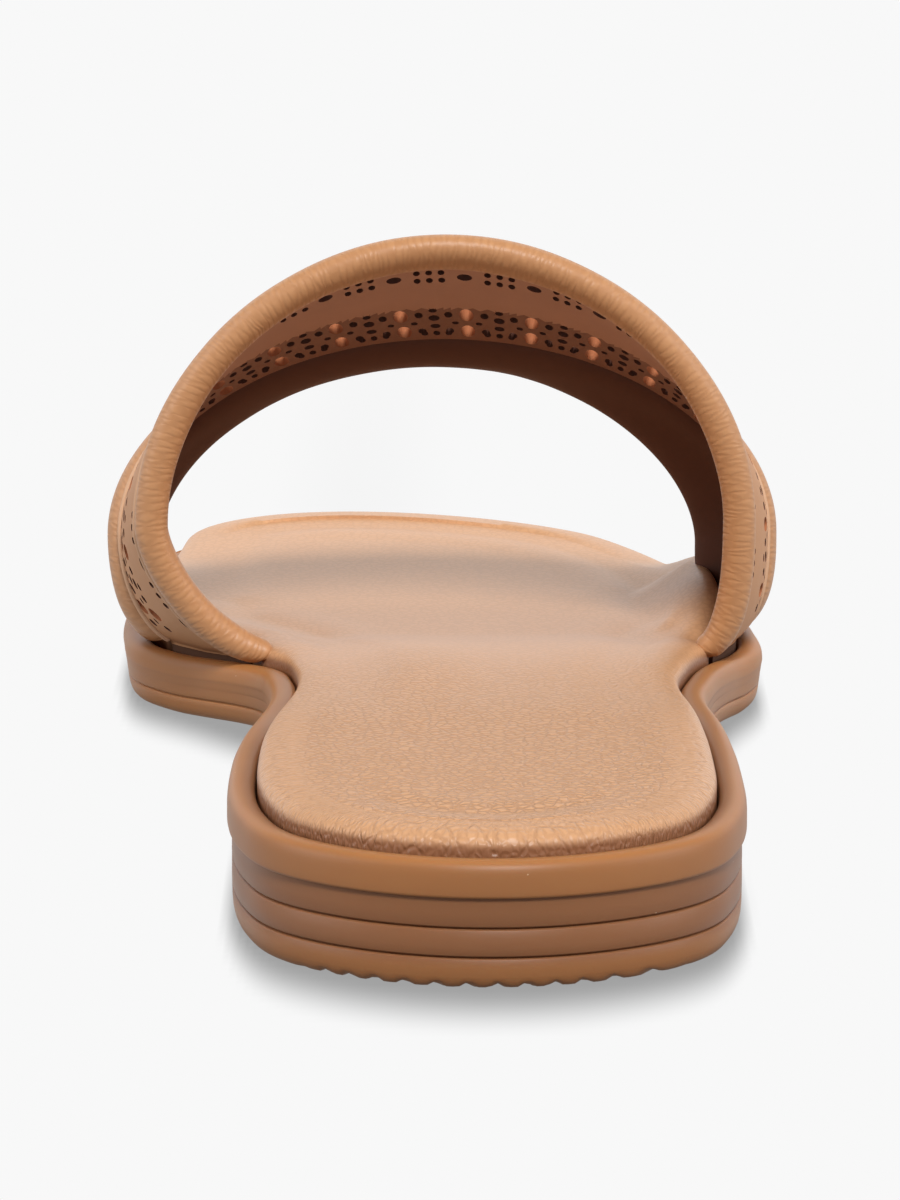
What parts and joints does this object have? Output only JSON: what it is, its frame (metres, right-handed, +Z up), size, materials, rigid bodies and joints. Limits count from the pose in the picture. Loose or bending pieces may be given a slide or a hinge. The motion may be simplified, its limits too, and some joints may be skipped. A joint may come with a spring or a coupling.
{
  "type": "slide sandal",
  "caption": "Flat slide sandal for the right foot: moulded gum rubber sole, padded footbed and one wide perforated strap with padded edges.",
  "frame": {"origin": "on the ground, under the middle of the bounding box", "axes": "+Z up, +Y from heel to toe, +X towards the outer side of the right foot"},
  "size_m": [0.0964, 0.252, 0.0716],
  "materials": {
    "gum_rubber": "moulded gum rubber, satin, slightly translucent at its rim",
    "footbed_leather": "pebble grained, padded, satin",
    "panel_leather": "matte perforated panel with a dark red-brown lining",
    "edge_leather": "soft grained, padded, finely wrinkled across"
  },
  "bodies": {
    "root": {"sole": "gum_rubber", "footbed": "footbed_leather", "strap_panel": "panel_leather", "strap_rear_edge": "edge_leather", "strap_front_edge": "edge_leather"}
  },
  "joints": []
}
